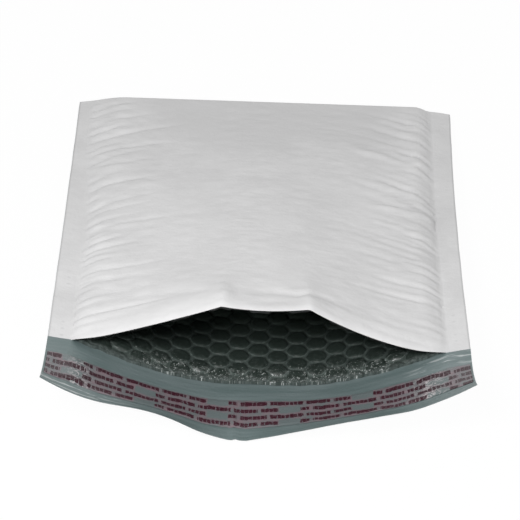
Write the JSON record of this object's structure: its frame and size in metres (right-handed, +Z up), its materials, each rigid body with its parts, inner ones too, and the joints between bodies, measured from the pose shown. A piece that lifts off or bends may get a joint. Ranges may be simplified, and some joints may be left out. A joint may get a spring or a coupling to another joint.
{
  "type": "poly bubble mailer",
  "caption": "Film mailing pouch lined with bubble film, lying open with its self-seal flap and peel-off liner towards the front.",
  "frame": {"origin": "middle of the outline on the floor, under the back panel", "axes": "+X across the mailer, +Y from the mouth to the bottom fold, +Z up from the floor"},
  "size_m": [0.216, 0.3284, 0.0453],
  "materials": {
    "white_film": "satin white outside and grey inside, with fine wrinkles beside the seals",
    "bubble_film": "glossy grey bubble film, nearly black deep in the pouch",
    "hot_melt_adhesive": "clear tacky strip, hidden under the liner",
    "silicone_liner": "thin glossy release film with rows of plain dark red dashes"
  },
  "bodies": {
    "root": {"outer_film": "white_film", "bubble_lining": "bubble_film", "adhesive_strip": "hot_melt_adhesive", "release_liner": "silicone_liner"}
  },
  "joints": []
}
